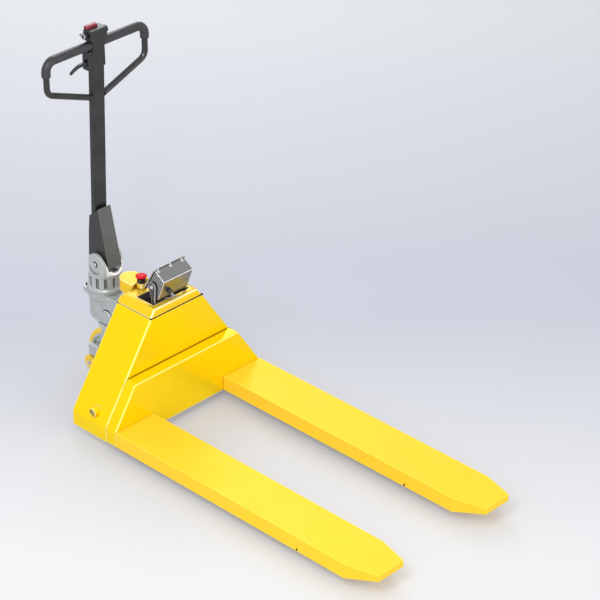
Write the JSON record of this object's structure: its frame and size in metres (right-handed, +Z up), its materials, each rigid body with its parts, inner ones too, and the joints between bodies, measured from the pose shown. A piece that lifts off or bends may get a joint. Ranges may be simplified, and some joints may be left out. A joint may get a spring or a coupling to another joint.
{
  "type": "electric pallet truck",
  "caption": "Walk-behind electric pallet truck with weighing forks: A-shaped chassis, tilting display on top, grey steered drive wheel and tall tiller with a loop handle.",
  "frame": {"origin": "on the floor under the middle of the bounding box, forks lowered and tiller upright", "axes": "+X along the forks towards their tips, +Y to the truck's left seen from the tiller, +Z up"},
  "size_m": [1.66, 0.68, 1.344],
  "materials": {
    "yellow_paint": "glossy powder coat",
    "black_paint": "satin powder coat",
    "grey_foot_paint": "satin powder coat",
    "cast_grey": "zinc-grey coated casting",
    "steel": "machined",
    "rubber": "matt",
    "black_plastic": "fine texture",
    "dark_plastic": "satin",
    "yellow_urethane": "satin polyurethane",
    "red_plastic": "glossy",
    "stainless": "bright sheet",
    "glass": "dark display window",
    "bronze": "machined bronze",
    "cable_grey": "cable jacket"
  },
  "bodies": {
    "drive_base": {"base_casting": "cast_grey", "spindle_bush": "bronze", "lift_cylinder": "black_paint"},
    "frame": {"chassis_shell": "yellow_paint", "heel_box": "yellow_paint", "top_cover": "yellow_paint", "recess_tray": "dark_plastic", "lift_crossbar": "steel", "piston_rod": "steel", "fork_shell_left": "yellow_paint", "fork_shell_right": "yellow_paint", "fork_beam_left": "steel", "fork_beam_right": "steel", "load_cell_rear_left": "stainless", "load_cell_front_left": "stainless", "load_cell_rear_right": "stainless", "load_cell_front_right": "stainless", "shaft_bushing_left": "yellow_paint", "shaft_bushing_right": "yellow_paint", "battery_pack": "black_plastic", "pump_motor": "black_paint", "estop_collar": "black_plastic", "indicator_bracket": "stainless"},
    "steering": {"tiller_head": "cast_grey", "steering_spindle": "steel", "wheel_yoke": "cast_grey", "drive_axle": "steel", "tiller_pin": "steel"},
    "drive_wheel": {"drive_tyre": "yellow_urethane", "drive_hub": "cast_grey"},
    "stabiliser_left": {"stabiliser_wheel_left": "yellow_urethane"},
    "stabiliser_right": {"stabiliser_wheel_right": "yellow_urethane"},
    "tiller": {"tiller_arm": "black_paint", "tiller_foot": "grey_foot_paint", "return_spring": "steel", "handle_loop": "black_paint", "grip_left": "rubber", "grip_right": "rubber", "control_housing": "black_plastic", "lever_housing": "black_plastic"},
    "throttle": {"throttle_butterfly": "black_plastic"},
    "lever": {"lowering_lever": "black_plastic"},
    "belly": {"belly_button": "red_plastic"},
    "horn": {"horn_button": "dark_plastic"},
    "lift_switch": {"lift_button": "dark_plastic"},
    "key": {"ignition_key": "steel"},
    "estop": {"estop_button": "red_plastic"},
    "indicator": {"indicator_housing": "stainless", "indicator_bezel": "stainless", "display_window": "glass", "cable_gland": "black_plastic", "load_cell_cable_left": "cable_grey", "load_cell_cable_right": "cable_grey"},
    "rocker": {"rocker_shaft": "steel"},
    "push_rod_left": {"push_rod_left": "steel"},
    "push_rod_right": {"push_rod_right": "steel"},
    "roller_arm_left": {"roller_arm_left": "steel"},
    "roller_arm_right": {"roller_arm_right": "steel"},
    "load_roller_left": {"load_roller_left": "yellow_urethane"},
    "load_roller_right": {"load_roller_right": "yellow_urethane"}
  },
  "joints": [
    {"name": "lift", "type": "slide", "parent": "drive_base", "child": "frame", "axis": [0, 0, 1], "range_m": [0, 0.115]},
    {"name": "steer", "type": "hinge", "parent": "drive_base", "child": "steering", "pos_m": [-0.7602, 0, 0.3], "axis": [0, 0, 1], "range_deg": [-90, 90]},
    {"name": "drive_wheel_spin", "type": "hinge", "parent": "steering", "child": "drive_wheel", "pos_m": [-0.7352, 0, 0.096], "axis": [0, 1, 0], "continuous": true},
    {"name": "tiller_tilt", "type": "hinge", "parent": "steering", "child": "tiller", "pos_m": [-0.7532, 0, 0.457], "axis": [0, -1, 0], "range_deg": [0, 72], "stiffness_Nm_per_rad": 22, "springref_deg": -20.05},
    {"name": "throttle_turn", "type": "hinge", "parent": "tiller", "child": "throttle", "pos_m": [-0.7592, 0, 1.314], "axis": [0, 1, 0], "range_deg": [-40, 40], "stiffness_Nm_per_rad": 0.15},
    {"name": "lever_pull", "type": "hinge", "parent": "tiller", "child": "lever", "pos_m": [-0.7582, -0.039, 1.216], "axis": [-1, 0, 0], "range_deg": [0, 16], "stiffness_Nm_per_rad": 0.25, "springref_deg": -17.19},
    {"name": "belly_press", "type": "slide", "parent": "tiller", "child": "belly", "axis": [0, 0, -1], "range_m": [0, 0.005], "stiffness_N_per_m": 800, "springref_m": -0.003},
    {"name": "horn_press", "type": "slide", "parent": "tiller", "child": "horn", "axis": [1, 0, 0], "range_m": [0, 0.0025], "stiffness_N_per_m": 600, "springref_m": -0.002},
    {"name": "lift_press", "type": "slide", "parent": "tiller", "child": "lift_switch", "axis": [1, 0, 0], "range_m": [0, 0.0025], "stiffness_N_per_m": 600, "springref_m": -0.002},
    {"name": "key_turn", "type": "hinge", "parent": "tiller", "child": "key", "pos_m": [-0.7782, 0.027, 1.306], "axis": [-1, 0, 0], "range_deg": [0, 90]},
    {"name": "estop_press", "type": "slide", "parent": "frame", "child": "estop", "axis": [0, 0, -1], "range_m": [0, 0.006]},
    {"name": "indicator_tilt", "type": "hinge", "parent": "frame", "child": "indicator", "pos_m": [-0.43819, 0, 0.50494], "axis": [0, 1, 0], "range_deg": [-12, 15], "deforming": ["load_cell_cable_left", "load_cell_cable_right"]},
    {"name": "rocker_turn", "type": "hinge", "parent": "frame", "child": "rocker", "pos_m": [-0.4632, 0, 0.115], "axis": [0, -1, 0], "range_deg": [0, 11]},
    {"name": "stabiliser_spin_left", "type": "hinge", "parent": "steering", "child": "stabiliser_left", "pos_m": [-0.7952, 0.0525, 0.05], "axis": [0, 1, 0], "continuous": true},
    {"name": "push_rod_travel_left", "type": "slide", "parent": "frame", "child": "push_rod_left", "axis": [1, 0, 0], "range_m": [0, 0.0105]},
    {"name": "roller_arm_swing_left", "type": "hinge", "parent": "frame", "child": "roller_arm_left", "pos_m": [0.3518, 0.2525, 0.044], "axis": [0, 1, 0], "range_deg": [0, 47.5]},
    {"name": "load_roller_spin_left", "type": "hinge", "parent": "roller_arm_left", "child": "load_roller_left", "pos_m": [0.5118, 0.2525, 0.04], "axis": [0, 1, 0], "continuous": true},
    {"name": "stabiliser_spin_right", "type": "hinge", "parent": "steering", "child": "stabiliser_right", "pos_m": [-0.7952, -0.0525, 0.05], "axis": [0, 1, 0], "continuous": true},
    {"name": "push_rod_travel_right", "type": "slide", "parent": "frame", "child": "push_rod_right", "axis": [1, 0, 0], "range_m": [0, 0.0105]},
    {"name": "roller_arm_swing_right", "type": "hinge", "parent": "frame", "child": "roller_arm_right", "pos_m": [0.3518, -0.2525, 0.044], "axis": [0, 1, 0], "range_deg": [0, 47.5]},
    {"name": "load_roller_spin_right", "type": "hinge", "parent": "roller_arm_right", "child": "load_roller_right", "pos_m": [0.5118, -0.2525, 0.04], "axis": [0, 1, 0], "continuous": true}
  ],
  "couplings": [
    {"joint": "rocker_turn", "follows": "lift", "rad_per_m": 1.55},
    {"joint": "push_rod_travel_left", "follows": "lift", "ratio": 0.0885},
    {"joint": "roller_arm_swing_left", "follows": "lift", "rad_per_m": 7.076},
    {"joint": "push_rod_travel_right", "follows": "lift", "ratio": 0.0885},
    {"joint": "roller_arm_swing_right", "follows": "lift", "rad_per_m": 7.076}
  ]
}
